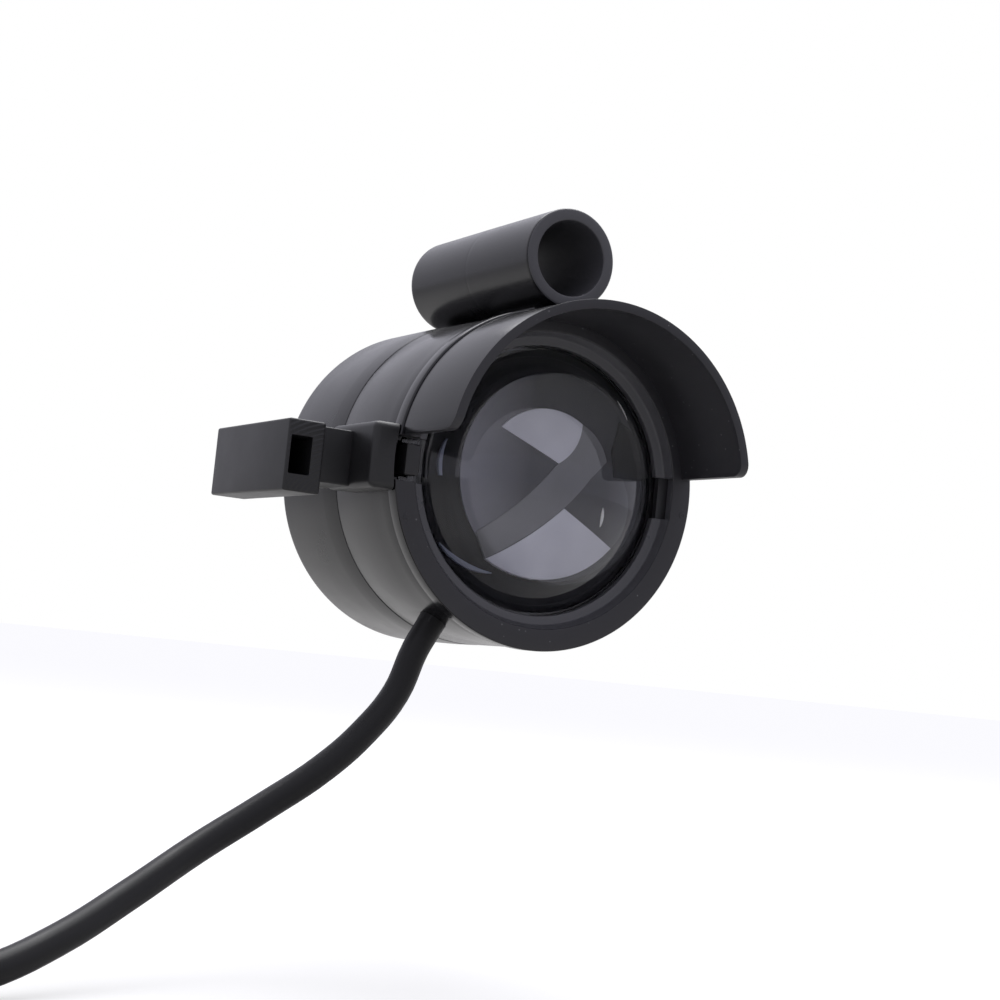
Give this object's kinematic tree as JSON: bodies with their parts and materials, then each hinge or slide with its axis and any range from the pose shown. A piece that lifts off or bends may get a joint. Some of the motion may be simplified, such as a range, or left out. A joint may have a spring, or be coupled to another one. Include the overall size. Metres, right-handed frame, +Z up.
{
  "type": "underwater pond light",
  "caption": "Small low-voltage underwater spotlight with a convex lens and glare hood; its top tube slides on a fountain riser pipe and a cable leaves below.",
  "frame": {"origin": "the middle of the riser tube's bore, on its axis", "axes": "the lamp shines along -Y, +Z is up and +X is to the right as seen from in front of the lens; the riser tube lies along Y"},
  "size_m": [0.239, 0.1273, 0.1639],
  "materials": {
    "housing_black": "satin black moulded plastic",
    "latch_plastic": "fine matte black plastic",
    "lens_clear": "clear polished",
    "cable_rubber": "soft black rubber",
    "seal_silicone": "black silicone",
    "plate_aluminium": "milled",
    "reflector_mirror": "metallised plastic",
    "board_white": "white solder mask",
    "emitter_yellow": "phosphor",
    "board_green": "green solder mask",
    "screw_steel": "zinc plated",
    "contact_brass": "plain",
    "wire_red": "PVC",
    "wire_blue": "PVC",
    "wire_brown": "PVC"
  },
  "bodies": {
    "lamp": {"front_barrel": "housing_black", "rear_housing": "housing_black", "riser_tube": "housing_black", "side_bracket": "housing_black", "plug_body": "housing_black", "rectifier": "housing_black", "lens": "lens_clear", "cable": "cable_rubber", "cable_coil": "cable_rubber", "cable_end": "cable_rubber", "cable_tail": "cable_rubber", "cable_gland": "cable_rubber", "plug_boot": "cable_rubber", "coil_tie_1": "cable_rubber", "coil_tie_2": "cable_rubber", "led_wire_black": "cable_rubber", "inductor": "cable_rubber", "lens_gasket": "seal_silicone", "seam_o_ring": "seal_silicone", "heat_sink": "plate_aluminium", "reflector": "reflector_mirror", "led_board": "board_white", "led_emitter": "emitter_yellow", "driver_board": "board_green", "heat_sink_screw_1": "screw_steel", "heat_sink_screw_2": "screw_steel", "heat_sink_screw_3": "screw_steel", "capacitor": "screw_steel", "plug_pin_1": "contact_brass", "plug_pin_2": "contact_brass", "cable_stop_ring": "contact_brass", "led_wire_red": "wire_red", "supply_wire_blue": "wire_blue", "supply_wire_brown": "wire_brown"},
    "bezel": {"bezel_hood": "housing_black"},
    "latch_left": {"latch_left": "latch_plastic"},
    "latch_right": {"latch_right": "latch_plastic"},
    "collar": {"plug_collar": "housing_black"}
  },
  "joints": [
    {"name": "bezel_pull", "type": "slide", "parent": "lamp", "child": "bezel", "axis": [0, -1, 0], "range_m": [0, 0.03]},
    {"name": "latch_left_flex", "type": "hinge", "parent": "lamp", "child": "latch_left", "pos_m": [-0.0323, -0.0115, -0.0475], "axis": [0, 0, -1], "range_deg": [0, 4.5], "stiffness_Nm_per_rad": 0.2},
    {"name": "latch_right_flex", "type": "hinge", "parent": "lamp", "child": "latch_right", "pos_m": [0.0323, -0.0115, -0.0475], "axis": [0, 0, 1], "range_deg": [0, 4.5], "stiffness_Nm_per_rad": 0.2},
    {"name": "plug_collar_turn", "type": "hinge", "parent": "lamp", "child": "collar", "pos_m": [-0.194, 0.0455, -0.1438], "axis": [0, 1, 0], "continuous": true}
  ]
}
